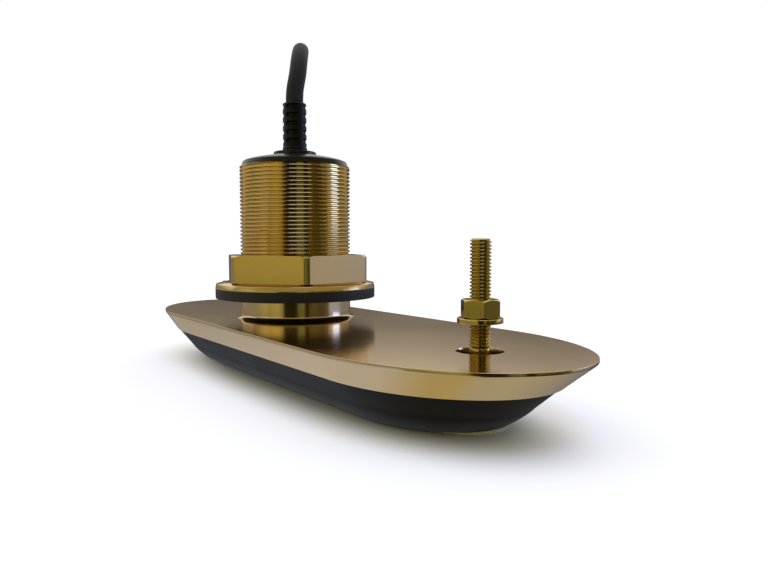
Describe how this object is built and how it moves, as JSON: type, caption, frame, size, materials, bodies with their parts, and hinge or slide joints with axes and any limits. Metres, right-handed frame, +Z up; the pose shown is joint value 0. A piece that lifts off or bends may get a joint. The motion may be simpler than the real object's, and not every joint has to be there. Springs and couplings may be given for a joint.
{
  "type": "through-hull sonar transducer",
  "caption": "Bronze through-hull sonar transducer: long bevelled plate with a threaded stem, hull nut, anti-rotation stud, black cast acoustic window and cable.",
  "frame": {"origin": "middle of the plate on the surface that the face frame rests on", "axes": "+X along the plate towards the anti-rotation stud, +Z up along the stem"},
  "size_m": [0.3528, 0.1566, 0.1392],
  "materials": {
    "bronze": "polished",
    "bronze_trim": "polished",
    "window": "satin",
    "gasket": "matte",
    "cap": "satin",
    "relief": "matte",
    "cable": "satin",
    "strap": "matte",
    "plug": "satin",
    "contacts": "polished",
    "ceramic": "matte",
    "backing": "matte",
    "potting": "gloss",
    "board": "satin",
    "leads": "satin"
  },
  "bodies": {
    "root": {"housing": "bronze", "acoustic_window": "window", "face_frame": "bronze_trim", "hull_nut": "bronze_trim", "hull_washer": "bronze_trim", "hull_gasket": "gasket", "stud": "bronze_trim", "stud_nut": "bronze_trim", "stud_washer": "bronze_trim", "stem_cap": "cap", "strain_relief": "relief", "stem_potting": "potting", "inner_leads": "leads", "circuit_board": "board", "down_element": "ceramic", "down_backing": "backing", "side_bar_port": "ceramic", "side_bar_starboard": "ceramic", "side_backing_port": "backing", "side_backing_starboard": "backing", "temperature_probe": "bronze_trim", "cable": "cable", "cable_coil": "cable", "coil_tie": "strap", "cable_tail": "cable", "plug_body": "plug", "plug_ring": "plug", "plug_insert": "plug", "plug_pins": "contacts", "plug_seal": "gasket"}
  },
  "joints": []
}
